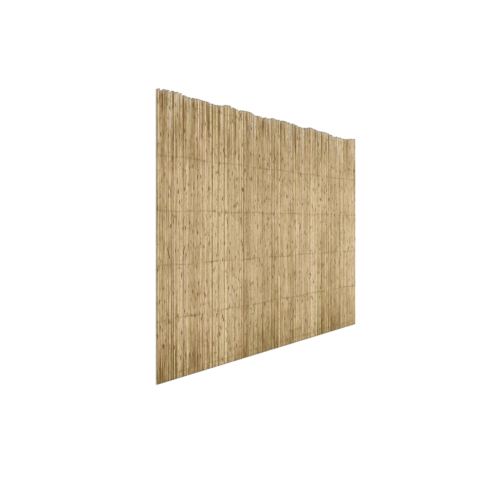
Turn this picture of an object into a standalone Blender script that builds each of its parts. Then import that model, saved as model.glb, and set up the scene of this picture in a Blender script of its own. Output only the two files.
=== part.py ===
"""Bamboo screening, one roll's length, unrolled and lying flat.

Thin whole canes lie side by side along Y and make one layer. Six rows of binding wire run
across them along X. Each row is two strands that change faces between groups of canes, so
that every group is held between them, and each strand is bent round the outermost canes.
The canes of a group touch, so a group is one solid with the grooves between its canes cut
into both faces.

Metres, +Z up. The origin is under the middle of the sheet, on the surface it lies on.
-Y is the foot, where the canes are cut flush, and +Y the top, where they run out unevenly.
"""

import math
import random

import bmesh
import bpy

# Canes
SCREEN_WIDTH = 3.0  # from outermost cane to outermost cane
CANE_LENGTH = 2.0  # of the longest cane
CANE_DIAMETER = 0.0100  # mean, halfway along a cane
DIAMETER_SPREAD = 0.0020  # a cane is at most this much thicker or thinner than the mean
CANE_TAPER = 0.0016  # butt diameter less tip diameter
CANES_IN_GROUP = 12  # mean number of canes between two places where the strands change faces
GROUP_UNEVENNESS = 0.2  # a group starts up to this share of a group early or late

# Uneven top edge: the crests and dips of the line it runs along, each as its X and how
# far below the highest crest it lies
TOP_LINE = (
    (-1.50, 0.008),
    (-1.30, 0.000),
    (-1.16, 0.014),
    (-1.05, 0.012),
    (-0.90, 0.020),
    (-0.70, 0.001),
    (-0.60, 0.014),
    (-0.47, 0.008),
    (-0.29, 0.023),
    (-0.02, 0.010),
    (0.16, 0.010),
    (0.40, 0.027),
    (0.57, 0.007),
    (0.72, 0.020),
    (0.81, 0.013),
    (1.00, 0.029),
    (1.23, 0.034),
    (1.50, 0.005),
)
TOP_STRAGGLE = 0.016  # more that a single cane may fall short, though most by far less
LENGTH_STEP = 0.001  # cane lengths are whole steps

# Binding wire
WIRE_DIAMETER = 0.0010
WIRE_ROWS = 6
FOOT_MARGIN = 0.045  # from the foot to the first row
TOP_MARGIN = 0.080  # from the longest cane's top to the last row
HOOK_LENGTH = 0.015  # what a strand's end runs back over the outermost canes
HOOK_BEND = 0.0030  # corner of the bend round the outermost cane

CLEARANCE = 0.0003  # between pieces that bear on each other

# Proportions of a cane's eight-sided section, as shares of its diameter
CROWN_HALF_WIDTH = 0.26
WEB_HALF_HEIGHT = 0.10
SMOOTH_UP_TO = math.radians(65)  # facets of one cane meet at less, ends and grooves at more

LAYOUT_SEED = 7

BAMBOO = ("bamboo", (0.52, 0.37, 0.20), 0.65, 0.0)
GALVANISED_WIRE = ("galvanised_wire", (0.24, 0.22, 0.19), 0.55, 0.8)

FOOT_Y = -CANE_LENGTH / 2
GROUP_GAP = WIRE_DIAMETER + 2 * CLEARANCE


def clear_scene():
    for obj in list(bpy.data.objects):
        bpy.data.objects.remove(obj)


def make_material(name, colour, roughness, metallic):
    material = bpy.data.materials.new(name)
    material.use_nodes = True
    shader = material.node_tree.nodes["Principled BSDF"]
    shader.inputs["Base Color"].default_value = (*colour, 1.0)
    shader.inputs["Roughness"].default_value = roughness
    shader.inputs["Metallic"].default_value = metallic
    return material


def group_sizes(rng):
    """How many canes each group has, from one side of the screen to the other."""
    count = round(SCREEN_WIDTH / CANE_DIAMETER)
    groups = max(1, round(count / CANES_IN_GROUP))
    early_or_late = [rng.uniform(-GROUP_UNEVENNESS, GROUP_UNEVENNESS) for _ in range(1, groups)]
    cuts = [round((i + e) * count / groups) for i, e in enumerate(early_or_late, 1)]
    return [end - start for start, end in zip([0, *cuts], [*cuts, count])]


def top_shortfall(x, rng):
    """How far the cane at x stops below the highest crest of the top edge."""
    for (x0, short0), (x1, short1) in zip(TOP_LINE, TOP_LINE[1:]):
        if x <= x1:
            break
    share = (1 - math.cos(math.pi * (x - x0) / (x1 - x0))) / 2
    short = short0 + share * (short1 - short0) + TOP_STRAGGLE * rng.random() ** 2
    return round(short / LENGTH_STEP) * LENGTH_STEP


def lay_out_canes():
    """Lists the groups, left to right. Each cane is its lines at foot and top, and its top.

    A group is (edges_at_foot, edges_at_top, tops): where the canes' sides lie in X at the
    foot and at full length, one more than there are canes, and each cane's top in Y.
    """
    rng = random.Random(LAYOUT_SEED)
    sizes = group_sizes(rng)
    count = sum(sizes)
    spread = [rng.uniform(-DIAMETER_SPREAD, DIAMETER_SPREAD) for _ in range(count)]
    diameters = [CANE_DIAMETER + s for s in spread]
    even_places = [SCREEN_WIDTH * ((i + 0.5) / count - 0.5) for i in range(count)]
    short = [top_shortfall(x, rng) for x in even_places]
    tops = [FOOT_Y + CANE_LENGTH - s + min(short) for s in short]

    fit = (SCREEN_WIDTH - GROUP_GAP * (len(sizes) - 1)) / sum(diameters)
    groups, left, first = [], -SCREEN_WIDTH / 2, 0
    for size in sizes:
        here = diameters[first:first + size]
        width = fit * sum(here)
        at_foot = side_lines(left, width, here, 1)
        at_top = side_lines(left, width, here, -1)
        groups.append((at_foot, at_top, tops[first:first + size]))
        left += width + GROUP_GAP
        first += size
    return groups


def side_lines(left, width, diameters, end):
    """X of the canes' sides at one end of a group: butts and tips lie there in turn."""
    here = [
        d + end * CANE_TAPER / 2 * (1 if i % 2 == 0 else -1)
        for i, d in enumerate(diameters)
    ]
    lines = [left]
    for d in here:
        lines.append(lines[-1] + d * width / sum(here))
    return lines


def at(y, foot_value, top_value):
    """A value that changes evenly from the foot to full length, at y."""
    share = (y - FOOT_Y) / CANE_LENGTH
    return foot_value + share * (top_value - foot_value)


class GroupMesh:
    """The solid of one group: eight-sided canes that share the flats where they touch."""

    def __init__(self, group, mid_z):
        self.foot, self.top, self.tops = group
        self.mid_z = mid_z
        self.bm = bmesh.new()
        self.made = {}

    def corner(self, x, y, z):
        """The vertex there, made once, so that neighbouring faces share it."""
        key = (round(x, 7), round(y, 7), round(z, 7))
        if key not in self.made:
            self.made[key] = self.bm.verts.new((x, y, z))
        return self.made[key]

    def side_x(self, line, y):
        return at(y, self.foot[line], self.top[line])

    def diameter(self, cane, y):
        return self.side_x(cane + 1, y) - self.side_x(cane, y)

    def web(self, line):
        """Half the height of the flat at a side line: a share of the thinner cane there."""
        beside = [c for c in (line - 1, line) if 0 <= c < len(self.tops)]
        ends = (FOOT_Y, FOOT_Y + CANE_LENGTH)
        return WEB_HALF_HEIGHT * min(self.diameter(c, y) for c in beside for y in ends)

    def on_side(self, line, y, face):
        """The corner of the flat on a side line, at y, towards face +1 or -1."""
        return self.corner(self.side_x(line, y), y, self.mid_z + face * self.web(line))

    def on_crown(self, cane, y, side, face):
        """The edge of a cane's crown at y, left or right of its middle."""
        diameter = self.diameter(cane, y)
        middle = (self.side_x(cane, y) + self.side_x(cane + 1, y)) / 2
        x = middle + side * CROWN_HALF_WIDTH * diameter
        return self.corner(x, y, self.mid_z + face * diameter / 2)

    def neighbour_top(self, cane, side):
        """Where the next cane on that side ends, or None past the group's edge."""
        other = cane + side
        return self.tops[other] if 0 <= other < len(self.tops) else None

    def add_slope(self, cane, side, face):
        """From the crown down to the flat, split where a shorter neighbour ends."""
        line, end = cane + (side > 0), self.tops[cane]
        beside = self.neighbour_top(cane, side)
        start_crown = self.on_crown(cane, FOOT_Y, side, face)
        end_crown = self.on_crown(cane, end, side, face)
        start, finish = self.on_side(line, FOOT_Y, face), self.on_side(line, end, face)
        if beside is None or beside >= end:
            self.bm.faces.new((start, finish, end_crown, start_crown))
            return
        split = self.on_side(line, beside, face)
        self.bm.faces.new((start, split, start_crown))
        self.bm.faces.new((split, finish, end_crown, start_crown))

    def add_open_flat(self, cane, side):
        """The part of a cane's flat that no neighbour covers."""
        line, end = cane + (side > 0), self.tops[cane]
        beside = self.neighbour_top(cane, side)
        start = FOOT_Y if beside is None else beside
        if start < end:
            corners = [(start, 1), (end, 1), (end, -1), (start, -1)]
            self.bm.faces.new([self.on_side(line, y, face) for y, face in corners])

    def add_end(self, cane, y):
        section = [self.on_side(cane, y, 1)]
        section += [self.on_crown(cane, y, side, 1) for side in (-1, 1)]
        section += [self.on_side(cane + 1, y, face) for face in (1, -1)]
        section += [self.on_crown(cane, y, side, -1) for side in (1, -1)]
        section.append(self.on_side(cane, y, -1))
        self.bm.faces.new(section)

    def add_cane(self, cane):
        end = self.tops[cane]
        for face in (1, -1):
            crown = [(FOOT_Y, -1), (end, -1), (end, 1), (FOOT_Y, 1)]
            self.bm.faces.new([self.on_crown(cane, y, side, face) for y, side in crown])
            for side in (-1, 1):
                self.add_slope(cane, side, face)
        for side in (-1, 1):
            self.add_open_flat(cane, side)
        self.add_end(cane, FOOT_Y)
        self.add_end(cane, end)

    def build(self, name):
        for cane in range(len(self.tops)):
            self.add_cane(cane)
        bmesh.ops.recalc_face_normals(self.bm, faces=self.bm.faces)
        return finished_mesh(self.bm, name)


def finished_mesh(bm, name):
    mesh = bpy.data.meshes.new(name)
    bm.to_mesh(mesh)
    bm.free()
    mesh.shade_smooth()
    mesh.set_sharp_from_angle(angle=SMOOTH_UP_TO)
    return mesh


def thickest_cane(groups):
    return max(
        right - left
        for foot, top, _ in groups
        for lines in (foot, top)
        for left, right in zip(lines, lines[1:])
    )


def strand_route(groups, half_depth, first_face):
    """The strand's centreline as (x, z) points, z counted from the canes' middle plane."""
    out_x = SCREEN_WIDTH / 2 + CLEARANCE + WIRE_DIAMETER / 2
    face = first_face
    route = hooked_end(-1, out_x, half_depth, -face)
    for foot, _, _ in groups[1:]:
        gap_x = foot[0] - GROUP_GAP / 2
        route += [(gap_x, face * half_depth), (gap_x, -face * half_depth)]
        face = -face
    return route + hooked_end(1, out_x, half_depth, -face)[::-1]


def hooked_end(side, out_x, half_depth, hook_face):
    """From the tip of the hook round the outermost cane and onto the other face."""
    bend_x = side * (out_x - HOOK_BEND)
    bend_z = half_depth - HOOK_BEND
    return [
        (side * (out_x - HOOK_LENGTH), hook_face * half_depth),
        (bend_x, hook_face * half_depth),
        (side * out_x, hook_face * bend_z),
        (side * out_x, -hook_face * bend_z),
        (bend_x, -hook_face * half_depth),
    ]


def sweep_flat_wire(route, name):
    """A square wire along a route in the XZ plane, with mitred corners."""
    bm = bmesh.new()
    half = WIRE_DIAMETER / 2
    rings = []
    for i, (x, z) in enumerate(route):
        before = direction(route[max(i - 1, 0)], route[max(i, 1)])
        after = direction(route[min(i, len(route) - 2)], route[min(i + 1, len(route) - 1)])
        lean_x, lean_z = before[0] + after[0], before[1] + after[1]
        scale = half / ((lean_x * before[0] + lean_z * before[1]) or 1)
        normal_x, normal_z = -lean_z * scale, lean_x * scale
        rings.append([
            bm.verts.new((x + side * normal_x, across * half, z + side * normal_z))
            for side, across in ((1, 1), (1, -1), (-1, -1), (-1, 1))
        ])
    for one, two in zip(rings, rings[1:]):
        for i in range(4):
            bm.faces.new((one[i], one[i - 1], two[i - 1], two[i]))
    bm.faces.new(rings[0])
    bm.faces.new(rings[-1][::-1])
    bmesh.ops.recalc_face_normals(bm, faces=bm.faces)
    return finished_mesh(bm, name)


def direction(start, end):
    length = math.dist(start, end)
    return (end[0] - start[0]) / length, (end[1] - start[1]) / length


def add_object(name, mesh, material, location=(0, 0, 0)):
    obj = bpy.data.objects.new(name, mesh)
    obj.location = location
    if not mesh.materials:
        mesh.materials.append(material)
    bpy.context.scene.collection.objects.link(obj)
    return obj


def main():
    clear_scene()
    bamboo = make_material(*BAMBOO)
    wire = make_material(*GALVANISED_WIRE)
    groups = lay_out_canes()

    half_depth = thickest_cane(groups) / 2 + CLEARANCE + WIRE_DIAMETER / 2
    mid_z = half_depth + WIRE_DIAMETER / 2
    for number, group in enumerate(groups, 1):
        name = f"canes_{number:02d}"
        add_object(name, GroupMesh(group, mid_z).build(name), bamboo)

    row_pitch = (CANE_LENGTH - FOOT_MARGIN - TOP_MARGIN) / (WIRE_ROWS - 1)
    beside = (WIRE_DIAMETER + CLEARANCE) / 2
    for letter, first_face, shift in (("a", 1, beside), ("b", -1, -beside)):
        route = strand_route(groups, half_depth, first_face)
        mesh = sweep_flat_wire(route, f"strand_{letter}")
        for row in range(WIRE_ROWS):
            y = FOOT_Y + FOOT_MARGIN + row * row_pitch + shift
            add_object(f"binding_wire_{row + 1}{letter}", mesh, wire, (0, y, mid_z))


main()
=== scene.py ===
# %% [markdown]
# # Bamboo cane screening, unrolled
#
# A few hundred thin whole canes lie side by side and are bound by six rows of paired wire.
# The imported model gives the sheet's size, its bundles of canes and its strands of wire. This
# lesson makes what a buyer sees: round hollow canes with their joints and cut ends, wire
# woven through every gap, and the dry, stained, uneven colour of bamboo.
#
# X runs along the wires, Y along the canes from the flush foot (-Y) to the uneven top (+Y),
# and Z out of the sheet. Everything is in metres.

import math
import random

import bpy
from mathutils import Matrix, Vector


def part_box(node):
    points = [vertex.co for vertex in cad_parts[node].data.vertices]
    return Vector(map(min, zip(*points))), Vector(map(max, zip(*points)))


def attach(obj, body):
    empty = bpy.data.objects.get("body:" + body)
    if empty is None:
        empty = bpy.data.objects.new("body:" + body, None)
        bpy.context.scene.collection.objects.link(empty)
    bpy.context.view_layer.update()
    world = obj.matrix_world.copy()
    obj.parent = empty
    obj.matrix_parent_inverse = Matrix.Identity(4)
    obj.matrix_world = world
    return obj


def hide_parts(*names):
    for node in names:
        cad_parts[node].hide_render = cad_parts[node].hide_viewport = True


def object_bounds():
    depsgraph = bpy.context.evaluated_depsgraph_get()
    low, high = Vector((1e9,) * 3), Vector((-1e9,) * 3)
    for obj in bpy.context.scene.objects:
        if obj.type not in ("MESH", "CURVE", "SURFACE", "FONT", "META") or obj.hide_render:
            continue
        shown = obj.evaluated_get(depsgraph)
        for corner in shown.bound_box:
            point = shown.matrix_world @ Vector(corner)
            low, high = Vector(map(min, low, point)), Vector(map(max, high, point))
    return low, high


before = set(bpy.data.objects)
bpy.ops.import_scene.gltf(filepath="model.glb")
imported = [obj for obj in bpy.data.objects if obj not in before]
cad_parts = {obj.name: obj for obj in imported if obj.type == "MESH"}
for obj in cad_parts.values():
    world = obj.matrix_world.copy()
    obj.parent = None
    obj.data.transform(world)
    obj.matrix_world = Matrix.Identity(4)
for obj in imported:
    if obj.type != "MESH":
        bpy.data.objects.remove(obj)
cad_box = [list(corner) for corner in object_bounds()]
print("frame:", len(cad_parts), "nodes, box", cad_box)

# %% [markdown]
# ## The camera
#
# The photograph shows the sheet from one side, so that its near end is 1.6 times as tall as
# its far end, while the canes stay parallel in the picture. They stay parallel only if the
# camera's own upright runs along the canes. So the camera's axes are built from vectors: up
# is +Y, and it looks across the sheet and down on it. The line of the horizon lies a little
# above the middle of the photograph, which a small lens shift gives.

# %% Camera
CAMERA_PLACE = Vector((-4.376, 0.077, 2.860))
CAMERA_TILT = math.radians(35.9)  # down from level
CAMERA_LENS = 42.95  # mm, on the default 36 mm sensor
CAMERA_SHIFT = -0.0518  # share of the picture's height
PICTURE_SIDE = 500  # pixels

forward = Vector((math.cos(CAMERA_TILT), 0, -math.sin(CAMERA_TILT)))
upright = Vector((0, 1, 0))
right = forward.cross(upright)
camera_data = bpy.data.cameras.new("camera")
camera_data.lens = CAMERA_LENS
camera_data.shift_y = CAMERA_SHIFT
camera = bpy.data.objects.new("camera", camera_data)
camera.location = CAMERA_PLACE
camera.rotation_euler = Matrix((right, upright, -forward)).transposed().to_euler()
bpy.context.scene.collection.objects.link(camera)
bpy.context.scene.camera = camera


def on_picture(point):
    """Where a point of the scene lands on the square picture, in pixels from its top left."""
    offset = Vector(point) - CAMERA_PLACE
    depth = offset.dot(forward)
    focal = CAMERA_LENS / camera_data.sensor_width * PICTURE_SIDE
    x = PICTURE_SIDE / 2 + focal * offset.dot(right) / depth
    y = PICTURE_SIDE / 2 - focal * offset.dot(upright) / depth + CAMERA_SHIFT * PICTURE_SIDE
    return round(x, 1), round(y, 1)


(left_x, foot_y, _), (right_x, top_y, _) = cad_box
for x, y in ((left_x, top_y), (left_x, foot_y), (right_x, top_y), (right_x, foot_y)):
    print("corner", round(x, 3), round(y, 3), "lands at", on_picture((x, y, 0)))

# %% [markdown]
# ## The sheet's sizes
#
# Real screening is sold by height and length, and its canes are roughly as thick as a
# finger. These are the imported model's own sizes, in the same order, because the layout below
# has to find the same places again. The top edge sinks and rises a few centimetres along the
# sheet, and the pairs of the top line hold that: a place along it, and how far the edge stops
# short there.

# %% Sizes of the sheet
SCREEN_WIDTH = 3.0  # m, as every length here
CANE_LENGTH = 2.0
CANE_DIAMETER = 0.0100
DIAMETER_SPREAD = 0.0020  # at most this much thicker or thinner
CANE_TAPER = 0.0016  # how much thicker a cane is at its butt than at its tip
CANES_IN_GROUP = 12
GROUP_UNEVENNESS = 0.2  # how far the end of a bundle may shift, in bundles
TOP_LINE = (
    (-1.50, 0.008), (-1.30, 0.000), (-1.16, 0.014), (-1.05, 0.012), (-0.90, 0.020),
    (-0.70, 0.001), (-0.60, 0.014), (-0.47, 0.008), (-0.29, 0.023), (-0.02, 0.010),
    (0.16, 0.010), (0.40, 0.027), (0.57, 0.007), (0.72, 0.020), (0.81, 0.013),
    (1.00, 0.029), (1.23, 0.034), (1.50, 0.005),
)
TOP_STRAGGLE = 0.016  # how much farther a single cane may stop short
LENGTH_STEP = 0.001  # to which the canes' lengths are rounded
WIRE_DIAMETER = 0.0010
CLEARANCE = 0.0003  # between a strand and the canes that it holds
LAYOUT_SEED = 7

FOOT_Y = -CANE_LENGTH / 2
GROUP_GAP = WIRE_DIAMETER + 2 * CLEARANCE
print("top line:", len(TOP_LINE), "points")
print("gap between two bundles", round(1000 * GROUP_GAP, 1), "mm")

# %% [markdown]
# ## How the canes lie
#
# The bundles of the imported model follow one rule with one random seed. Repeating the rule
# here, with the draws in the same order, puts each round cane into its own groove of the
# bundle that it stands for. A cane tapers, so butts and tips lie side by side in turn, which
# keeps the sheet as wide at its top as at its foot.

# %% Lay out the canes
def group_sizes(rng):
    """How many canes each bundle has, from one side of the sheet to the other."""
    count = round(SCREEN_WIDTH / CANE_DIAMETER)
    groups = round(count / CANES_IN_GROUP)
    early_or_late = [rng.uniform(-GROUP_UNEVENNESS, GROUP_UNEVENNESS) for _ in range(1, groups)]
    cuts = [round((i + e) * count / groups) for i, e in enumerate(early_or_late, 1)]
    return [end - start for start, end in zip([0, *cuts], [*cuts, count])]


def top_shortfall(x, rng):
    """How far the cane at x stops below the highest crest of the top edge."""
    for (x0, short0), (x1, short1) in zip(TOP_LINE, TOP_LINE[1:]):
        if x <= x1:
            break
    share = (1 - math.cos(math.pi * (x - x0) / (x1 - x0))) / 2
    short = short0 + share * (short1 - short0) + TOP_STRAGGLE * rng.random() ** 2
    return round(short / LENGTH_STEP) * LENGTH_STEP


def side_lines(left, width, diameters, end):
    """X of the canes' sides at one end of a bundle: butts and tips lie there in turn."""
    here = [
        d + end * CANE_TAPER / 2 * (1 if i % 2 == 0 else -1)
        for i, d in enumerate(diameters)
    ]
    lines = [left]
    for d in here:
        lines.append(lines[-1] + d * width / sum(here))
    return lines


def lay_out_bundles():
    """Each bundle as a list of canes: (foot_left, foot_right, top_left, top_right, top_y)."""
    rng = random.Random(LAYOUT_SEED)
    sizes = group_sizes(rng)
    count = sum(sizes)
    spread = [rng.uniform(-DIAMETER_SPREAD, DIAMETER_SPREAD) for _ in range(count)]
    diameters = [CANE_DIAMETER + s for s in spread]
    even_places = [SCREEN_WIDTH * ((i + 0.5) / count - 0.5) for i in range(count)]
    short = [top_shortfall(x, rng) for x in even_places]
    tops = [FOOT_Y + CANE_LENGTH - s + min(short) for s in short]

    fit = (SCREEN_WIDTH - GROUP_GAP * (len(sizes) - 1)) / sum(diameters)
    bundles, left, first = [], -SCREEN_WIDTH / 2, 0
    for size in sizes:
        here = diameters[first:first + size]
        width = fit * sum(here)
        foot = side_lines(left, width, here, 1)
        top = side_lines(left, width, here, -1)
        ends = tops[first:first + size]
        bundles.append(list(zip(foot, foot[1:], top, top[1:], ends)))
        left += width + GROUP_GAP
        first += size
    return bundles


bundles = lay_out_bundles()
canes = [cane for bundle in bundles for cane in bundle]
thickest = max(max(c[1] - c[0], c[3] - c[2]) for c in canes)
MIDDLE_Z = thickest / 2 + CLEARANCE + WIRE_DIAMETER
print(len(bundles), "bundles,", len(canes), "canes, middle plane at", round(MIDDLE_Z, 5))

CHECKED = 13  # a bundle in the middle of the sheet, to see that it lies in the same place
low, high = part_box(f"canes_{CHECKED}")
first_cane, last_cane = bundles[CHECKED - 1][0], bundles[CHECKED - 1][-1]
print("in the frame from", round(low[0], 4), "to", round(high[0], 4))
print("and here from", round(first_cane[0], 4), "to", round(last_cane[1], 4))

# %% [markdown]
# ## Sums with sockets
#
# Shape and colour both come from formulas, in node trees. A tree is easier to read when
# its maths is written as Python sums, so one small class wraps a socket, and an operator on
# two of them adds the Math node that does it. Nodes of any other kind come from one method.

# %% Socket arithmetic
class Graph:
    """Adds nodes to a tree. Every result is a Term, which can go into sums."""

    def __init__(self, tree):
        self.tree = tree

    def node(self, kind, settings=None, values=None, output=0):
        """A node of any kind: its settings first, then the values or links of its sockets."""
        made = self.tree.nodes.new(kind)
        for name, setting in (settings or {}).items():
            setattr(made, name, setting)
        for name, value in (values or {}).items():
            sockets = [s for s in made.inputs if s.enabled and s.name == name]
            self.connect(sockets[0] if isinstance(name, str) else made.inputs[name], value)
        outputs = [s for s in made.outputs if s.enabled]
        found = outputs[output] if isinstance(output, int) else made.outputs[output]
        return Term(self, found)

    def connect(self, socket, value):
        """Links a Term to a socket, or sets the socket to a plain value."""
        if isinstance(value, Term):
            self.tree.links.new(value.socket, socket)
        else:
            socket.default_value = value


class Term:
    """A socket's value as a number in a Python sum."""

    def __init__(self, graph, socket):
        self.graph, self.socket = graph, socket

    def math(self, operation, *values):
        """A Math node on all the values given."""
        inputs = dict(enumerate(values))
        return self.graph.node("ShaderNodeMath", {"operation": operation}, inputs)

    def __add__(self, other):
        return self.math("ADD", self, other)

    def __sub__(self, other):
        return self.math("SUBTRACT", self, other)

    def __rsub__(self, other):
        return self.math("SUBTRACT", other, self)

    def __mul__(self, other):
        return self.math("MULTIPLY", self, other)

    def __truediv__(self, other):
        return self.math("DIVIDE", self, other)

    def __pow__(self, other):
        return self.math("POWER", self, other)

    def __lt__(self, other):
        return self.math("LESS_THAN", self, other)

    def __gt__(self, other):
        return self.math("GREATER_THAN", self, other)

    def __abs__(self):
        return self.math("ABSOLUTE", self)

    __radd__, __rmul__ = __add__, __mul__

    def rise(self, start, end):
        """0 at start and 1 at end, easing in and out; start may be the larger one."""
        span = {"From Min": min(start, end), "From Max": max(start, end)}
        rising = (0.0, 1.0) if start < end else (1.0, 0.0)
        span.update({"To Min": rising[0], "To Max": rising[1], "Value": self})
        return self.graph.node("ShaderNodeMapRange", {"interpolation_type": "SMOOTHSTEP"}, span)


def mix(start, end, share):
    """The number that lies share of the way from start to end."""
    return start + (end - start) * share


# %% [markdown]
# ## Starting and ending a geometry tree
#
# Every tree here has named inputs and ends with smooth, real meshes of one material. Two
# helpers do that, so that each tree below is only about its own shape.

# %% Helper for trees
def new_geometry_tree(name, sizes):
    """An empty geometry tree with named inputs. Returns its graph and inputs as Terms."""
    tree = bpy.data.node_groups.new(name, "GeometryNodeTree")
    tree.interface.new_socket("Geometry", in_out="OUTPUT", socket_type="NodeSocketGeometry")
    tree.interface.new_socket("Geometry", in_out="INPUT", socket_type="NodeSocketGeometry")
    for label, kind in sizes.items():
        tree.interface.new_socket(label, in_out="INPUT", socket_type="NodeSocket" + kind)
    graph = Graph(tree)
    group_in = tree.nodes.new("NodeGroupInput")
    inputs = {s.name: Term(graph, s) for s in group_in.outputs if s.name}
    return graph, inputs


def finish_geometry_tree(graph, geometry, material):
    """Every tree here ends alike: smooth faces, real meshes and a material."""
    smooth = graph.node("GeometryNodeSetShadeSmooth", None, {"Geometry": geometry})
    real = graph.node("GeometryNodeRealizeInstances", None, {"Geometry": smooth})
    done = graph.node("GeometryNodeSetMaterial", None, {"Geometry": real, "Material": material})
    group_out = graph.tree.nodes.new("NodeGroupOutput")
    graph.tree.links.new(done.socket, group_out.inputs[0])


# %% [markdown]
# ## Rings that know their number
#
# A bamboo cane is a thin tube, a little thicker at every joint. Modelling three hundred by
# hand is out of the question, and an array would make them all alike. A node tree can put a
# many-ringed cylinder on one point for each cane. Every corner then learns its ring's number
# and its angle, because with those two a formula can move it anywhere later on.

# %% Rings for every cane
RINGS_AT_JOINT = 5
MIDDLE_RING = RINGS_AT_JOINT // 2  # of a joint's rings, counted from 0
RINGS_AT_END = 3


def stored(graph, name):
    """A number that the points carry."""
    return graph.node("GeometryNodeInputNamedAttribute", {"data_type": "FLOAT"}, {"Name": name})


def store(graph, geometry, name, value):
    """Gives the points of a geometry a number to carry."""
    settings = {"data_type": "FLOAT", "domain": "POINT"}
    values = {"Geometry": geometry, "Name": name, "Value": value}
    return graph.node("GeometryNodeStoreNamedAttribute", settings, values)


def ringed_cylinders(graph, given):
    """A cylinder on every point, with its rings and angles stored; and its last ring's number."""
    last = given["Joints"] * RINGS_AT_JOINT + (2 * RINGS_AT_END - 1)
    cylinder = graph.node("GeometryNodeMeshCylinder", {"fill_type": "NGON"}, {
        "Vertices": given["Sides"], "Side Segments": last, "Radius": 1.0, "Depth": 1.0})
    place = graph.node("GeometryNodeInputPosition")
    x, y, z = (graph.node("ShaderNodeSeparateXYZ", None, {0: place}, i) for i in range(3))
    ring = (z + 0.5) * last
    cylinder = store(graph, cylinder, "ring", ring.math("ROUND", ring))
    cylinder = store(graph, cylinder, "angle", y.math("ARCTAN2", y, x))
    grown = graph.node("GeometryNodeInstanceOnPoints", None, {
        "Points": given["Geometry"], "Instance": cylinder})
    return graph.node("GeometryNodeRealizeInstances", None, {"Geometry": grown}), last


# %% [markdown]
# ## A tree for round canes
#
# Now the formula. The outer rings come in fives, one set at each joint, and swell there. The
# first and last three rings fold inwards to make the cut face and the hollow of an end. Each
# cane bows a little and has its joints at its own places, and no ring may pass a cut end.
# Where a twig once grew, a scar is left on one side of the joint, and the shader later paints
# what this tree only marks.

# %% Tree: round canes
JOINT_JITTER = 0.10  # of the distance between two joints
JOINT_IDS = 64  # numbers kept free for the joints of one cane, more than it has
JOINT_POWER = 3  # how a joint's rings, swelling and scar fall off from its middle ring
SCAR_RARITY = 0.9  # above 1, most of the scars are faint
SCAR_REACH = 0.35  # above 0, a scar reaches past a quarter of the way round
SCAR_JITTER = 0.6  # radians by which a scar may sit off its side
TURN_OF_CANE = 2.4  # radians between one cane's scars and the next cane's
BORE_RINGS = 2  # of the rings at an end, those as narrow as the hollow
BOW_RATE = 5.0  # how fast a cane's slight waves follow each other, in radians a metre
RING_ROOM = 0.001  # what rings keep between each other where a joint lies close to an end


def cane_tree():
    graph, given = new_geometry_tree("round_canes", {
        "Sides": "Int", "Joints": "Int", "Joint step": "Float", "Swelling": "Float",
        "Bore share": "Float", "Bore depth": "Float", "Seed": "Int", "Material": "Material",
    })
    grown, last = ringed_cylinders(graph, given)

    # Which joint a ring belongs to, and its step from that joint: -2 to 2
    ring, angle, cane = (stored(graph, name) for name in ("ring", "angle", "cane"))
    count = (ring - RINGS_AT_END) / RINGS_AT_JOINT
    joint = count.math("FLOOR", count)
    step = ring - RINGS_AT_END - joint * RINGS_AT_JOINT - MIDDLE_RING
    at_foot = ring < RINGS_AT_END - 0.5
    at_top = ring > last - RINGS_AT_END + 0.5
    between = 1 - at_foot - at_top

    def chance(salt):
        """A number from -1 to 1 for each joint of each cane."""
        return graph.node("FunctionNodeRandomValue", {"data_type": "FLOAT"}, {
            "Min": -1.0, "Max": 1.0, "ID": cane * JOINT_IDS + joint,
            "Seed": given["Seed"] + salt})

    # Where the ring lies along the cane
    length = stored(graph, "length")
    at_joint = joint + 0.5 + JOINT_JITTER * chance(0) + stored(graph, "joint_shift")
    at_joint = (at_joint / given["Joints"]) ** stored(graph, "joint_crowding")
    y_joint = length * at_joint + step ** JOINT_POWER * given["Joint step"]
    lowest = RING_ROOM * (ring - RINGS_AT_END + 1)
    highest = length - RING_ROOM * (last - RINGS_AT_END + 1 - ring)
    y_joint = y_joint.math("MINIMUM", y_joint.math("MAXIMUM", y_joint, lowest), highest)
    y_foot = given["Bore depth"] * (ring < 0.5)
    y_top = length - given["Bore depth"] * (ring > last - 0.5)
    along = y_foot * at_foot + y_top * at_top + y_joint * between

    # How thick it is there
    in_bore = (ring < BORE_RINGS - 0.5) + (ring > last - BORE_RINGS + 0.5)
    ridge = between * (1 - abs(step) / MIDDLE_RING)
    share = along / CANE_LENGTH
    radius = mix(stored(graph, "foot_radius"), stored(graph, "top_radius"), share)
    radius = radius * (1 + given["Swelling"] * ridge ** JOINT_POWER)
    radius = radius * mix(1.0, given["Bore share"], in_bore)

    # A cane isn't quite straight, but waves a little
    wave = along * BOW_RATE + stored(graph, "bow_start")
    new_x = mix(stored(graph, "foot_x"), stored(graph, "top_x"), share)
    new_x = new_x + stored(graph, "bow") * wave.math("SINE", wave)
    moved = graph.node("ShaderNodeCombineXYZ", None, {
        "X": new_x + radius * angle.math("COSINE", angle),
        "Y": FOOT_Y + along,
        "Z": MIDDLE_Z + stored(graph, "lift") - radius * angle.math("SINE", angle),
    })

    # The scar of a branch, on one side at this joint and on the other side at the next
    scar_angle = angle - cane * TURN_OF_CANE - joint * math.pi + SCAR_JITTER * chance(1)
    facing = SCAR_REACH + (1 - SCAR_REACH) * scar_angle.math("COSINE", scar_angle)
    facing = facing.math("MAXIMUM", facing, 0.0)
    lasting = between * (1 - (abs(step) / MIDDLE_RING) ** JOINT_POWER)
    scar = lasting * facing * ((chance(2) + 1) / 2) ** SCAR_RARITY
    for name, value in (("ridge", ridge), ("scar", scar), ("cut", in_bore)):
        grown = store(graph, grown, name, value)
    grown = graph.node("GeometryNodeSetPosition", None, {"Geometry": grown, "Position": moved})
    finish_geometry_tree(graph, grown, given["Material"])
    return graph.tree


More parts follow.
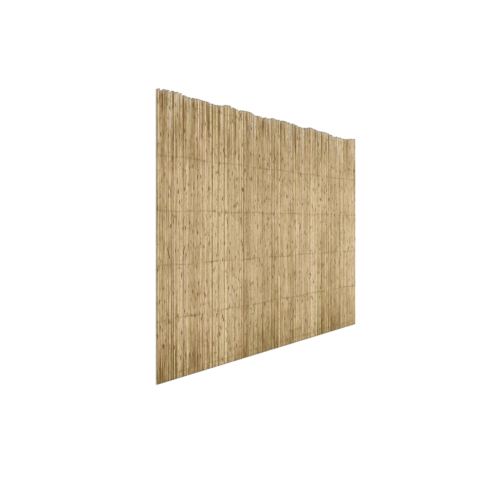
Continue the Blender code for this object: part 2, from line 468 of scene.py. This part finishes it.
round_canes = cane_tree()
print("tree", round_canes.name, "has", len(round_canes.nodes), "nodes")


# %% [markdown]
# ## From plan to piece
#
# The tree needs one point for each cane, with that cane's own numbers on it. This helper
# makes such a plan, lets the tree grow on it once, and keeps the result as a plain mesh with
# no modifier left, so that every piece is a simple mesh in the end.

# %% Grow a plain mesh on a plan
def plan_mesh(name, points, edges=(), numbers=None):
    """A mesh of bare points or lines, with a named list of numbers on its points."""
    mesh = bpy.data.meshes.new(name)
    mesh.from_pydata(points, list(edges), [])
    for label, values in (numbers or {}).items():
        mesh.attributes.new(label, "FLOAT", "POINT").data.foreach_set("value", values)
    return mesh


def grow(name, plan, tree, sizes):
    """Runs a geometry tree on a plan, and returns the result as an object of its own."""
    base = bpy.data.objects.new(name + "_plan", plan)
    bpy.context.scene.collection.objects.link(base)
    modifier = base.modifiers.new("grow", "NODES")
    modifier.node_group = tree
    for socket in tree.interface.items_tree:
        if socket.in_out == "INPUT" and socket.name in sizes:
            modifier[socket.identifier] = sizes[socket.name]
    evaluated = base.evaluated_get(bpy.context.evaluated_depsgraph_get())
    mesh = bpy.data.meshes.new_from_object(evaluated)
    bpy.data.objects.remove(base)
    mesh.name = name
    piece = bpy.data.objects.new(name, mesh)
    bpy.context.scene.collection.objects.link(piece)
    return piece


def triangle_count(piece):
    return sum(len(face.vertices) - 2 for face in piece.data.polygons)


# %% [markdown]
# ## Starting a shader
#
# A photographed texture would look right from one side only. A shader made of formulas has
# no seams and no pixels, so it holds from every side and close up. These helpers start a
# material and mix colours in it.

# %% Shader helpers
def new_shader(name):
    """A new material, its graph and its Principled shader."""
    material = bpy.data.materials.new(name)
    material.use_nodes = True
    graph = Graph(material.node_tree)
    principled = material.node_tree.nodes["Principled BSDF"]
    return material, graph, principled


def tinted(graph, start, end, share, blend="MIX"):
    """Mixes two colours, given as links or as (red, green, blue)."""
    def full(colour):
        return colour if isinstance(colour, Term) else (*colour, 1.0)
    settings = {"data_type": "RGBA", "blend_type": blend, "clamp_factor": True}
    values = {"Factor": share, "A": full(start), "B": full(end)}
    return graph.node("ShaderNodeMix", settings, values)


# %% [markdown]
# ## Where the rows of wire run
#
# Six rows bind the sheet. Wire rusts where rain stands on it, and the rust stains the canes
# beside it, so the bamboo has to know the rows before the wire itself is made. A machine
# doesn't weave them ruled straight: they wander a few millimetres along the sheet.

# %% Where the rows of wire run
WIRE_ROWS = 6
FOOT_MARGIN = 0.045  # from the foot to the lowest row
TOP_MARGIN = 0.080  # from the highest row to the ends of the longest canes
ROW_PITCH = (CANE_LENGTH - FOOT_MARGIN - TOP_MARGIN) / (WIRE_ROWS - 1)
FIRST_ROW_Y = FOOT_Y + FOOT_MARGIN
WANDER = 0.004  # how far a row strays from its straight line
WANDER_LENGTH = 0.62  # from one crest of it to the next
ROW_PHASE = 1.9  # radians from one row's wandering to the next row's
print("rows of wire at y =", [round(FIRST_ROW_Y + i * ROW_PITCH, 3) for i in range(WIRE_ROWS)])

# %% [markdown]
# ## A brush for canes
#
# Every coat of the bamboo finish asks the same few things: where a point lies, what its cane
# carries, and a noise drawn out along the fibres, since everything that happens to a cane
# follows its grain. One small class keeps them together, and each coat then has a short
# function and a cell of its own.

# %% Brush for canes
TOP_WANDER = 0.07  # how far from the mean a cane's dark top may start, of the height
FOOT_WANDER = 0.06
TOP_STAGES = ((0.66, 0.82, 0.15), (0.86, 0.98, 0.205))  # from a height to a height, how much
FOOT_STAGES = ((0.36, 0.10, 0.08), (0.15, 0.0, 0.25))
NOISE_APART = 3.7  # how far from its neighbour's place a cane reads its noise
NOISE_ROUGHNESS = 0.6


def darkening(height, stages):
    """Grows in two stages, each from one height to another and by its own amount."""
    first, second = (height.rise(start, end) * amount for start, end, amount in stages)
    return first + second


class CaneBrush:
    """What every coat reads: the place, the cane's own numbers, noise and how worn it is."""

    def __init__(self, graph):
        self.graph = graph
        place = graph.node("ShaderNodeTexCoord", None, None, "Object")
        self.x, self.y, self.z = (
            graph.node("ShaderNodeSeparateXYZ", None, {0: place}, i) for i in range(3))
        self.height = (self.y - FOOT_Y) / CANE_LENGTH
        self.from_top = self.carried("length") + FOOT_Y - self.y
        self.cane = self.carried("cane")
        self.ageing = self.carried("ageing")

        # Both ends have darkened, from another height on for each cane
        self.near_top = darkening(self.height + TOP_WANDER * self.ageing, TOP_STAGES)
        self.near_foot = darkening(self.height - FOOT_WANDER * self.ageing, FOOT_STAGES)

    def carried(self, name):
        """A number that the mesh carries on its points."""
        return self.graph.node("ShaderNodeAttribute", {"attribute_name": name}, None, "Fac")

    def noise(self, across, along, salt, detail=2.0, own=NOISE_APART):
        """Noise with about so many ripples a metre across and along the cane.

        Every cane has its own, unless own is 0, and every use of it has another salt.
        """
        vector = self.graph.node("ShaderNodeCombineXYZ", None, {
            0: self.x * across + self.cane * own, 1: self.y * along + salt, 2: self.z * across})
        settings = {"noise_dimensions": "3D"}
        values = {"Vector": vector, "Scale": 1.0, "Detail": detail, "Roughness": NOISE_ROUGHNESS}
        return self.graph.node("ShaderNodeTexNoise", settings, values, "Fac") * 2 - 1


# %% [markdown]
# ## How bright the bare canes are
#
# Neighbouring canes differ a lot, and at both ends they differ more. So each cane carries a
# tone of its own, and streaks, clouds and fine fibres come on top of it. Broad bands of painted
# light and shade across the sheet show best at the foot and fade towards the top.

# %% Brightness of the rind
MEAN_BRIGHTNESS = 1.02
DARKEST = 0.22
BRIGHTEST = 1.22
TOP_CONTRAST = 1.5  # how far the dark top, the dark foot and the tip drive the tones apart
FOOT_CONTRAST = 0.8
TIP_CONTRAST = 0.6
TIP_REACH = 0.15  # how far from its tip a cane's contrast starts to rise
SHADED_BAND_HEIGHTS = (0.95, 0.25)  # where the painted bands of light and shade have faded, and where they show in full
LONG_STREAKS = 0.50  # how much each kind of noise changes the brightness
SHORT_STREAKS = 0.42
CLOUDS = 0.30
FIBRES = 0.36
STREAK_CONTRAST = 0.4  # share of the contrast that the short streaks take


def brightness(brush):
    """How bright the bare cane is, with 1 for the plain colour."""
    noise, near_top, near_foot = brush.noise, brush.near_top, brush.near_foot
    contrast = 1 + TOP_CONTRAST * near_top + FOOT_CONTRAST * near_foot
    contrast = contrast + TIP_CONTRAST * brush.from_top.rise(TIP_REACH, 0.0)

    # Painted light and shade: broad bands across the sheet, fading towards the top
    band_shade = brush.carried("band_shade") * brush.height.rise(*SHADED_BAND_HEIGHTS)
    bright = brush.carried("tone") + band_shade + LONG_STREAKS * noise(0.0, 3.0, 5.0)
    streaks = SHORT_STREAKS * noise(0.0, 8.0, 1.0, 4.0) * mix(1.0, contrast, STREAK_CONTRAST)
    bright = MEAN_BRIGHTNESS + bright * contrast + streaks
    bright = bright + CLOUDS * noise(5.0, 4.0, 3.0, own=0.0)
    bright = bright + FIBRES * noise(620.0, 9.0, 9.0, 3.0) - near_top - near_foot
    return bright.math("MINIMUM", bright.math("MAXIMUM", bright, DARKEST), BRIGHTEST)


# %% [markdown]
# ## First coat: the bare rind
#
# Dry screening is straw-coloured in its middle, pinker and greyer towards the top, and
# browner where the feet stood in the wet. Each cane carries its own tint, and streaks and
# clouds change it a little. Darkened bamboo turns brown rather than grey, which one power
# for each of red, green and blue gives. A few canes are bleached at the top, and every tip
# is a little grey.

# %% Coat: rind
STRAW = (0.757, 0.586, 0.330)
PINK_TAN = (0.738, 0.546, 0.331)
GREEN_STRAW = (0.718, 0.590, 0.302)
BLEACHED = (0.96, 0.86, 0.665)
DUSTY_TIP = (0.66, 0.60, 0.50)
FADING = (0.82, 1.04, 1.65)  # how much of a darkening red, green and blue take
TINT_STREAKS = 0.6
TINT_CLOUDS = 0.9
TINT_SPREAD = 0.7  # how far tints lie apart in the middle, and how much more at both ends
TOP_SPREAD = 2.4
FOOT_SPREAD = 3.8
PINKER_TOP = 0.6
PINK_TO_STRAW = (-1.0, 0.2)  # between which tints one colour turns into the next
STRAW_TO_GREEN = (0.3, 1.2)
BROWNER_FOOT = 0.10  # share of the blue that a dark foot loses
BLEACH_DEPTH = 0.34  # how far down bleaching may come, of the height
BLEACH_HEIGHTS = (1.13, 1.27)
BLEACHED_SHARE = 0.88  # how strongly bleaching and dust show
DUSTY_SHARE = 0.52
DUSTY_LENGTH = 0.036


def rind(brush):
    """The colour of the bare cane: its tint, its brightness and what the weather did."""
    graph, noise, height = brush.graph, brush.noise, brush.height
    near_top, near_foot = brush.near_top, brush.near_foot
    tint = brush.carried("tint") + TINT_STREAKS * noise(0.0, 3.0, 7.0)
    tint = tint + TINT_CLOUDS * noise(9.0, 2.0, 14.0, own=0.0)
    tint = tint * (TINT_SPREAD + TOP_SPREAD * near_top + FOOT_SPREAD * near_foot)
    tint = tint - PINKER_TOP * near_top
    colour = tinted(graph, PINK_TAN, STRAW, tint.rise(*PINK_TO_STRAW))
    colour = tinted(graph, colour, GREEN_STRAW, tint.rise(*STRAW_TO_GREEN))

    bright = brightness(brush)
    red, green, blue = (bright ** power for power in FADING)
    blue = blue * (1 - BROWNER_FOOT * near_foot)
    shade = graph.node("ShaderNodeCombineXYZ", None, {0: red, 1: green, 2: blue})
    colour = tinted(graph, colour, shade, 1.0, "MULTIPLY")
    bleached = (height + BLEACH_DEPTH * brush.carried("bleach")).rise(*BLEACH_HEIGHTS)
    colour = tinted(graph, colour, BLEACHED, BLEACHED_SHARE * bleached)
    dusty = brush.from_top.rise(DUSTY_LENGTH, 0.0)
    return tinted(graph, colour, DUSTY_TIP, DUSTY_SHARE * dusty)


# %% [markdown]
# ## Second coat: painted groove shade and rust
#
# Painted shade, brown as dust, darkens the grooves between the canes and climbs higher up
# their sides in some stretches. Rust creeps out on both sides of each row of wire, in
# patches, and is washed off near the top. Both only need a distance, one from the middle
# plane and one from the nearest row, which the brush's place gives.

# %% Coat: painted groove shade and rust
# Painted shade in the grooves between the canes, brown as dust
GROOVE_SHADE_BROWN = (0.32, 0.19, 0.060)
GROOVE_SHADE_REACH = (0.0036, 0.0008)  # from the middle plane: where the painted shade ends, where it is full
GROOVE_SHADE_CLIMB = 0.0016  # how much higher it lies in the most shaded stretches
GROOVE_SHADE_SHARES = (0.25, 0.95)  # how strongly it shows in lightly and in deeply shaded stretches
RUST_STAIN = (0.26, 0.145, 0.035)
RUST_REACH = (0.0110, 0.0020)  # from the wire: where rust ends, where it is thick
RUST_WASH = (0.24, 0.10)  # how dark the top is where rust is washed off, and where it isn't
RUST_SHARE = 0.41


def groove_shade_and_rust(brush, colour):
    """Painted shade in the grooves, and rust on both sides of the rows of wire."""
    graph, noise, x, y = brush.graph, brush.noise, brush.x, brush.y
    # Painted shade: darker brown nearer the middle plane, between the canes, higher up in some
    # stretches
    shade_climbs = noise(0.0, 4.5, 17.0, 3.0).rise(0.10, 0.36)
    dusty = (abs(brush.z - MIDDLE_Z) - GROOVE_SHADE_CLIMB * shade_climbs).rise(*GROOVE_SHADE_REACH)
    shade_depth = noise(0.0, 2.2, 12.0).rise(-0.45, 0.35)
    colour = tinted(graph, colour, GROOVE_SHADE_BROWN, dusty * mix(*GROOVE_SHADE_SHARES, shade_depth))

    row = (y - FIRST_ROW_Y) / ROW_PITCH
    row = row.math("ROUND", row)
    swing = x * (2 * math.pi / WANDER_LENGTH) + row * ROW_PHASE
    from_wire = abs(y - FIRST_ROW_Y - row * ROW_PITCH - WANDER * swing.math("SINE", swing))
    patchy = noise(7.0, 4.0, 8.0, own=0.0).rise(-0.35, 0.45)
    rust = from_wire.rise(*RUST_REACH) * patchy * brush.near_top.rise(*RUST_WASH)
    return tinted(graph, colour, RUST_STAIN, rust * RUST_SHARE)


# %% [markdown]
# ## Third coat: the marks
#
# The small dark marks are what makes bamboo out of a striped surface: a fine line round each
# joint, a scar with frayed edges on one side of it, spots of mould, and darker ends. The
# canes' meshes carry where joints, scars and cut ends are. The strongest of the marks wins
# where two meet. Grey-green mould sits on the feet in patches that many canes share, and the
# pale pith and the painted shade of the hollow go on last.

# %% Coat: marks
# Brown of the scars and marks, and of the painted shade in the hollow of a cut end
SCAR_AND_SHADE_BROWN = (0.185, 0.098, 0.006)
FRAYING = 0.52  # how far the grain and its finest streaks fray the edge of a scar
FINE_FRAYING = 0.24
SCAR_EDGE = (0.02, 0.45)
SCAR_SHARE = 0.88  # how strongly scars show, and likewise for each kind of mark below
MOULD_FRAYING = 0.10
MOULD_SLANT = 0.012  # how much more mould grows towards -X, for each metre
MOULD_EDGE = (0.17, 0.45)
MOULD_SHARE = 0.79
LINE_EDGE = (0.86, 1.0)
LINE_SHARE = 0.65
DARK_TIP_REACH = (0.010, 0.002)  # from the end: where the mark ends, where it is full
DARK_TIP_SHARES = (0.25, 0.80)  # on the least and on the most aged canes
DARK_FOOT_REACH = (0.026, 0.004)
DARK_FOOT_SHARE = 0.14
FOOT_MOULD = (0.17, 0.150, 0.085)
FOOT_MOULD_REACH = (0.048, 0.002)
FOOT_MOULD_SHARE = 0.66
PITH = (0.62, 0.50, 0.32)


def small_marks(brush, from_foot):
    """How strong the strongest mark is: scar, mould, line of a joint, dark tip or dark foot."""
    noise = brush.noise
    streaks = noise(1500.0, 34.0, 23.0)
    scar = brush.carried("scar") + FRAYING * noise(230.0, 36.0, 4.0, 3.0)
    scar = (scar + FINE_FRAYING * streaks).rise(*SCAR_EDGE) * SCAR_SHARE
    mould = noise(130.0, 27.0, 6.0) + MOULD_FRAYING * streaks - MOULD_SLANT * brush.x
    mould = mould.rise(*MOULD_EDGE) * MOULD_SHARE
    line = brush.carried("ridge").rise(*LINE_EDGE) * LINE_SHARE
    from_end = from_foot.math("MINIMUM", from_foot, brush.from_top)
    tip = from_end.rise(*DARK_TIP_REACH) * mix(*DARK_TIP_SHARES, brush.ageing.rise(-1.0, 1.0))
    dark_foot = from_foot.rise(*DARK_FOOT_REACH) * DARK_FOOT_SHARE
    strongest = scar
    for mark in (mould, line, tip, dark_foot):
        strongest = mark.math("MAXIMUM", mark, strongest)
    return strongest


def marks(brush, colour):
    """The small dark marks, then mould on the feet, then pith and painted shade in the hollow at
    the cut ends.
    """
    graph, from_foot, cut = brush.graph, brush.y - FOOT_Y, brush.carried("cut")
    colour = tinted(graph, colour, SCAR_AND_SHADE_BROWN, small_marks(brush, from_foot))
    mouldy = brush.noise(26.0, 5.0, 27.0, own=0.0).rise(0.0, 0.34)
    mouldy = from_foot.rise(*FOOT_MOULD_REACH) * mouldy
    colour = tinted(graph, colour, FOOT_MOULD, mouldy * FOOT_MOULD_SHARE)
    colour = tinted(graph, colour, PITH, cut.rise(0.0, 0.6))
    # Painted shade: the hollow inside each cut end goes dark
    return tinted(graph, colour, SCAR_AND_SHADE_BROWN, cut.rise(0.85, 1.0))


# %% [markdown]
# ## The bamboo material
#
# Three coats of colour, one over the other, and fine fibres that lift the surface by a
# fraction of a millimetre and make it a little rougher on their backs. Old cane has lost its
# gloss, so it is rough and barely mirrors anything.

# %% Material: bamboo
RIND_ROUGHNESS = 0.60
RIND_MIRRORING = 0.25  # half of what a fresh plastic surface mirrors
FIBRE_HEIGHT = 0.0003
FIBRE_RELIEF = 0.25  # share of that height that the light sees
FIBRE_ROUGHNESS = 0.10


def bamboo_material():
    """The three coats on a dull surface with fine fibres."""
    material, graph, principled = new_shader("bamboo_rind")
    brush = CaneBrush(graph)
    colour = marks(brush, groove_shade_and_rust(brush, rind(brush)))
    fibres = brush.noise(1600.0, 30.0, 2.0, 3.0)
    bump = graph.node("ShaderNodeBump", None, {
        "Strength": FIBRE_RELIEF, "Distance": FIBRE_HEIGHT, "Height": fibres})
    graph.connect(principled.inputs["Base Color"], colour)
    graph.connect(principled.inputs["Roughness"], RIND_ROUGHNESS + FIBRE_ROUGHNESS * fibres)
    graph.connect(principled.inputs["Specular IOR Level"], RIND_MIRRORING)
    graph.connect(principled.inputs["Normal"], bump)
    return material


bamboo = bamboo_material()
print("material", bamboo.name, "has", len(bamboo.node_tree.nodes), "nodes")

# %% [markdown]
# ## Light and dark canes
#
# A cane's tone has two parts. One is its own, and on the near side it tends to turn away
# from its neighbour's, so that the canes there stand apart. The other is painted light and
# shade in broad soft bands, which stand for the shading of a gently undulating sheet.

# %% Tones of the canes
TONE_SPREAD = 0.166
MOST_TONE = 0.4  # no cane's own tone is farther from the mean
BRIGHT_SHARE = 0.07  # share of the canes that are lighter all along, and by how much
BRIGHT_CHANGE = 0.06
DARK_SHARE = 0.08  # share of the canes that have gone dark, and by how much
DARK_CHANGE = 0.20
SHADED_BANDS = (  # where each band of painted light and shade lies, its half width and its change
    (-1.48, 0.03, -0.16), (-1.37, 0.07, -0.14), (-1.27, 0.06, 0.07), (-1.10, 0.05, -0.08),
    (-0.78, 0.14, 0.15), (-0.52, 0.05, -0.20), (-0.25, 0.05, -0.12), (-0.10, 0.05, -0.20),
    (0.20, 0.05, -0.17), (0.58, 0.08, 0.18), (0.76, 0.06, -0.22), (1.00, 0.17, -0.17),
    (1.48, 0.03, 0.26),
)

UNLIKE_NEIGHBOURS = 0.6  # how far a cane's tone turns away from the last one's, at -X
LOOKS_SEED = 555

looks = random.Random(LOOKS_SEED)
last_own = [0.0]


def own_tone(x):
    """How much lighter (+) or darker (-) the cane at x is, on top of the painted band there."""
    own = looks.gauss(0, TONE_SPREAD)
    rare = looks.random()
    if rare < BRIGHT_SHARE:
        own += BRIGHT_CHANGE
    elif rare > 1 - DARK_SHARE:
        own -= DARK_CHANGE
    own = max(-MOST_TONE, min(MOST_TONE, own))
    apart = UNLIKE_NEIGHBOURS * math.sqrt(0.5 - x / SCREEN_WIDTH)
    tone = own - apart * last_own[-1]
    last_own.append(own)
    return tone


def shaded_band_tone(x):
    """The painted light (+) and shade (-) of the broad band across the sheet at x."""
    return sum(change * math.exp(-((x - at) / width) ** 2) for at, width, change in SHADED_BANDS)


print("batches of canes:", len(SHADED_BANDS))

# %% [markdown]
# ## Numbers for every cane
#
# A cane is a little thinner than its groove, so that the wire fits between it and its
# neighbour, and a bundle's outer canes reach into the gap beside it. Its sizes, its joints'
# places, its bow and its looks are drawn here once, and both the tree and the shader read
# them from the points.

# %% Numbers for every cane
LEAST_GAP = 0.0006  # a cane is at least this much thinner than its groove
MORE_GAP = 0.0016
OUTER_REACH = 0.0006  # how far a bundle's outer canes stand out of it, into the gap beside it
JOINT_SHIFT = 0.3  # of the distance between two joints
MOST_CROWDING = 1.25  # how far joints may crowd towards one end, where 1 is even
BOW_SHARE = 0.4  # how far a cane bows, as a share of the gap beside it
BLEACH_RARITY = 1.9  # above 1, most canes are hardly bleached


def cane_numbers(cane, number):
    """The named numbers of one cane, as the tree and the shader read them."""
    foot_left, foot_right, top_left, top_right, top_y = cane
    gap = LEAST_GAP + MORE_GAP * looks.random() ** 2
    foot_radius = (foot_right - foot_left - gap) / 2
    top_radius = (top_right - top_left - gap) / 2
    room = (thickest - LEAST_GAP) / 2 - max(foot_radius, top_radius)
    crowding = looks.uniform(1.0, MOST_CROWDING)
    middle_x = (foot_left + foot_right) / 2
    return {
        "cane": number,
        "foot_x": middle_x,
        "top_x": (top_left + top_right) / 2,
        "foot_radius": foot_radius,
        "top_radius": top_radius,
        "length": top_y - FOOT_Y,
        "joint_shift": looks.uniform(-JOINT_SHIFT, JOINT_SHIFT),
        "joint_crowding": crowding if number % 2 == 0 else 1 / crowding,
        "lift": looks.uniform(-0.5, 0.5) * room,
        "bow": BOW_SHARE * gap,
        "bow_start": looks.uniform(0, 2 * math.pi),
        "tone": own_tone(middle_x),
        # painted light and shade of the broad band at this cane
        "band_shade": shaded_band_tone(middle_x),
        "tint": looks.uniform(-1, 1),
        "ageing": looks.uniform(-1, 1),
        "bleach": looks.random() ** BLEACH_RARITY,
    }


def widened(cane, first, last):
    """A cane's groove, reaching out on a side where the next bundle is."""
    foot_left, foot_right, top_left, top_right, top_y = cane
    left, right = OUTER_REACH * first, OUTER_REACH * last
    return foot_left - left, foot_right + right, top_left - left, top_right + right, top_y


firsts = {bundle[0] for bundle in bundles[1:]}
lasts = {bundle[-1] for bundle in bundles[:-1]}
cane_rows = [cane_numbers(widened(cane, cane in firsts, cane in lasts), number)
             for number, cane in enumerate(canes)]
print("thinnest foot", round(2000 * min(row["foot_radius"] for row in cane_rows), 1), "mm")

# %% [markdown]
# ## The canes
#
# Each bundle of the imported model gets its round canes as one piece, which rides on the same
# body and takes the bundle's place in the picture. Ten sides are enough for a rod as thin as
# this, and a sharp edge is kept only where a cane was sawn off.

# %% Grow the canes
CANE_SIZES = {
    "Sides": 10, "Joints": 9, "Joint step": 0.0028, "Swelling": 0.08, "Bore share": 0.55,
    "Bore depth": 0.012, "Seed": 3, "Material": bamboo,
}
SHARP_FROM = math.radians(50)

first, triangles = 0, 0
for number, bundle in enumerate(bundles, 1):
    rows = cane_rows[first:first + len(bundle)]
    numbers = {name: [row[name] for row in rows] for name in rows[0]}
    plan = plan_mesh(f"cane_plan_{number:02d}", [(0, 0, 0)] * len(rows), numbers=numbers)
    piece = grow(f"round_canes_{number:02d}", plan, round_canes, CANE_SIZES)
    piece.data.set_sharp_from_angle(angle=SHARP_FROM)
    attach(piece, "root")
    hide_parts(f"canes_{number:02d}")
    first += len(bundle)
    triangles += triangle_count(piece)
print("canes:", first, "with", triangles, "triangles")

# %% [markdown]
# ## A tree for wire
#
# A wire is a round profile pulled along a path. A curve object with a bevel would do for one,
# but a tree turns any chain of points into the same wire and closes its cut ends, and the
# twelve strands of the sheet only differ in their points.

# %% Tree: swept wire
def wire_tree():
    graph, given = new_geometry_tree("swept_wire", {
        "Sides": "Int", "Wire radius": "Float", "Material": "Material"})
    path = graph.node("GeometryNodeMeshToCurve", None, {"Mesh": given["Geometry"]})
    profile = graph.node("GeometryNodeCurvePrimitiveCircle", {"mode": "RADIUS"}, {
        "Resolution": given["Sides"], "Radius": given["Wire radius"]})
    swept = graph.node("GeometryNodeCurveToMesh", None, {
        "Curve": path, "Profile Curve": profile, "Fill Caps": True})
    finish_geometry_tree(graph, swept, given["Material"])
    return graph.tree


swept_wire = wire_tree()
print("tree", swept_wire.name, "has", len(swept_wire.nodes), "nodes")

# %% [markdown]
# ## Weathered galvanised wire
#
# New wire of this kind is bright zinc. Out of doors it goes dull within a year, and then
# rusts where the zinc is thin. One soft noise decides between the two along the wire, and
# takes the shine away where the rust is.

# %% Material: weathered galvanised wire
ZINC_GREY = (0.34, 0.28, 0.17)
RUST_BROWN = (0.32, 0.17, 0.05)
WIRE_RIPPLES = 60.0  # of the noise, for each metre
RUSTY_FROM = (0.34, 0.56)  # values of the noise where rust starts, and where it is full
ZINC_METALLIC = 0.6
METALLIC_LOSS = 0.5  # what rust takes away of it
LEAST_ROUGHNESS = 0.45
MORE_ROUGHNESS = 0.3


def wire_material():
    """Dull zinc that turns to rust in places."""
    material, graph, principled = new_shader("weathered_zinc")
    place = graph.node("ShaderNodeTexCoord", None, None, "Object")
    dulled = graph.node("ShaderNodeTexNoise", None, {
        "Vector": place, "Scale": WIRE_RIPPLES, "Detail": 3.0}, "Fac")
    rusty = dulled.rise(*RUSTY_FROM)
    roughness = LEAST_ROUGHNESS + MORE_ROUGHNESS * dulled
    graph.connect(principled.inputs["Base Color"], tinted(graph, ZINC_GREY, RUST_BROWN, rusty))
    graph.connect(principled.inputs["Metallic"], ZINC_METALLIC - METALLIC_LOSS * rusty)
    graph.connect(principled.inputs["Roughness"], roughness)
    return material


weathered_zinc = wire_material()
print("material", weathered_zinc.name, "has", len(weathered_zinc.node_tree.nodes), "nodes")

# %% [markdown]
# ## Weaving the strands
#
# Each row is two strands. One goes over a cane where the other goes under it, they change
# places in every gap, and both are bent round the outermost canes. Their paths follow from
# the canes' own places and sizes, so a strand touches every cane that it holds, whatever
# the draws above gave. The two lie side by side, so that they pass each other in a gap.

# %% Weave the strands
OVER_ANGLES = (150, 110, 70, 30)  # where a strand bends round a cane, in degrees
SIDE_BY_SIDE = (WIRE_DIAMETER + CLEARANCE) / 2
HOOK_LENGTH = 0.015
HOOK_BEND = ((0, 0.2), (40, 0.6), (90, 1.0))  # degrees round the cane, and wires to the side


def cane_at(cane, y):
    """A cane's middle (X, Z) and the wire's bending radius round it, at a height."""
    share = (y - FOOT_Y) / CANE_LENGTH
    wave = (y - FOOT_Y) * BOW_RATE + cane["bow_start"]
    x = mix(cane["foot_x"], cane["top_x"], share) + cane["bow"] * math.sin(wave)
    radius = mix(cane["foot_radius"], cane["top_radius"], share) + WIRE_DIAMETER / 2
    return x, MIDDLE_Z + cane["lift"], radius


def strand_path(row, face, shift):
    """A strand's centre line, over and under the canes from the left edge to the right."""
    y_row = FIRST_ROW_Y + row * ROW_PITCH

    def point(cane, side_of_z, degrees, beside=0.0):
        """A point of the wire beside a cane, at an angle round it."""
        x, z, radius = cane_at(cane, y_row)
        x += radius * math.cos(math.radians(degrees))
        z += side_of_z * radius * math.sin(math.radians(degrees))
        stray = WANDER * math.sin(2 * math.pi * x / WANDER_LENGTH + row * ROW_PHASE)
        return x, y_row + stray + shift + beside, z

    def hook(cane, side_of_z, turned):
        """Round the outermost cane to its other face, and a little way back over it."""
        beside = math.copysign(WIRE_DIAMETER, shift)
        bend = [point(cane, -side_of_z, turned(degrees), share * beside)
                for degrees, share in HOOK_BEND]
        x, y, z = bend[-1]
        away = HOOK_LENGTH - cane_at(cane, y_row)[2]
        return [*bend, (x - away * math.cos(math.radians(turned(0))), y, z)]

    def side_of(number):
        """1 where the strand passes a cane on top, and -1 where it passes below."""
        return face if number % 2 == 0 else -face

    path = [point(cane, side_of(number), degrees)
            for number, cane in enumerate(cane_rows) for degrees in OVER_ANGLES]
    before = hook(cane_rows[0], side_of(0), lambda degrees: 180 - degrees)
    after = hook(cane_rows[-1], side_of(len(cane_rows) - 1), lambda degrees: degrees)
    return [*before[::-1], *path, *after]


WIRE_SIZES = {"Sides": 5, "Wire radius": WIRE_DIAMETER / 2, "Material": weathered_zinc}

wire_triangles = 0
for letter, face, shift in (("a", 1, SIDE_BY_SIDE), ("b", -1, -SIDE_BY_SIDE)):
    for row in range(WIRE_ROWS):
        points = strand_path(row, face, shift)
        edges = [(i, i + 1) for i in range(len(points) - 1)]
        plan = plan_mesh(f"strand_plan_{row + 1}{letter}", points, edges)
        piece = grow(f"woven_strand_{row + 1}{letter}", plan, swept_wire, WIRE_SIZES)
        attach(piece, "root")
        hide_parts(f"binding_wire_{row + 1}{letter}")
        wire_triangles += triangle_count(piece)
print("wire:", 2 * WIRE_ROWS, "strands with", wire_triangles, "triangles")

# %% [markdown]
# ## Floor
#
# The product stands before plain white in the photograph. Here it lies on a white floor that
# keeps the sheet's own soft shadow. White paint alone would come out a shade below pure
# white, so the camera, and whatever mirrors the floor, also sees a faint glow on it. That
# glow lights nothing else.

# %% Floor
FLOOR_SIZE = 60.0
FLOOR_WHITE = (0.93, 0.93, 0.93)
FLOOR_LIFT = 0.06  # glow for the camera and mirrors only, to take the floor up to full white


def seen_ray(graph):
    """1 for what the camera sees, itself or in a mirror or through glass, else 0."""
    rays = [graph.node("ShaderNodeLightPath", None, None, f"Is {kind} Ray")
            for kind in ("Camera", "Glossy", "Transmission")]
    return rays[0].math("MAXIMUM", rays[0], rays[1].math("MAXIMUM", rays[1], rays[2]))


def grey(graph, value):
    """A number as a colour."""
    return graph.node("ShaderNodeCombineXYZ", None, {0: value, 1: value, 2: value})


def white_floor_material():
    material, graph, principled = new_shader("white_floor")
    graph.connect(principled.inputs["Base Color"], (*FLOOR_WHITE, 1.0))
    graph.connect(principled.inputs["Roughness"], 1.0)
    graph.connect(principled.inputs["Specular IOR Level"], 0.0)
    graph.connect(principled.inputs["Emission Color"], grey(graph, seen_ray(graph)))
    graph.connect(principled.inputs["Emission Strength"], FLOOR_LIFT)
    return material


half = FLOOR_SIZE / 2
floor_mesh = bpy.data.meshes.new("floor")
floor_mesh.from_pydata([(-half, -half, 0), (half, -half, 0), (half, half, 0), (-half, half, 0)],
                       [], [(0, 1, 2, 3)])
floor_mesh.materials.append(white_floor_material())
floor = bpy.data.objects.new("floor", floor_mesh)
bpy.context.scene.collection.objects.link(floor)
print("floor", FLOOR_SIZE, "m wide, staged")

# %% [markdown]
# ## Light
#
# An even sky gives a little over half of the light, as in a bright studio, and one broad
# sun across the canes models their roundness. The sky is plain white to the camera, so that
# nothing grey shows beyond the floor's far edge, and dimmer as a source of light.

# %% Light
SKY_STRENGTH = 0.62
SUN_STRENGTH = 1.76
SUN_FROM = Vector((0.55, 0.45, 1.0))
SUN_ANGLE = math.radians(25)

world = bpy.data.worlds.new("even_sky")
world.use_nodes = True
world_graph = Graph(world.node_tree)
background = world.node_tree.nodes["Background"]
background.inputs["Color"].default_value = (1.0, 1.0, 1.0, 1.0)
world_graph.connect(background.inputs["Strength"], mix(SKY_STRENGTH, 1.0, seen_ray(world_graph)))
bpy.context.scene.world = world

sun_data = bpy.data.lights.new("broad_sun", "SUN")
sun_data.energy = SUN_STRENGTH
sun_data.angle = SUN_ANGLE
sun = bpy.data.objects.new("broad_sun", sun_data)
sun.rotation_mode = "QUATERNION"
sun.rotation_quaternion = (-SUN_FROM).to_track_quat("-Z", "Y")
bpy.context.scene.collection.objects.link(sun)

bpy.context.scene.view_settings.view_transform = "Standard"
print("sky", SKY_STRENGTH, "and sun", SUN_STRENGTH)

# %% [markdown]
# ## The size of the frame
#
# The dressed sheet has to fill the same box as the imported model, whose box is printed here.

# %% Sizes and finish
print("box of the frame", cad_box)
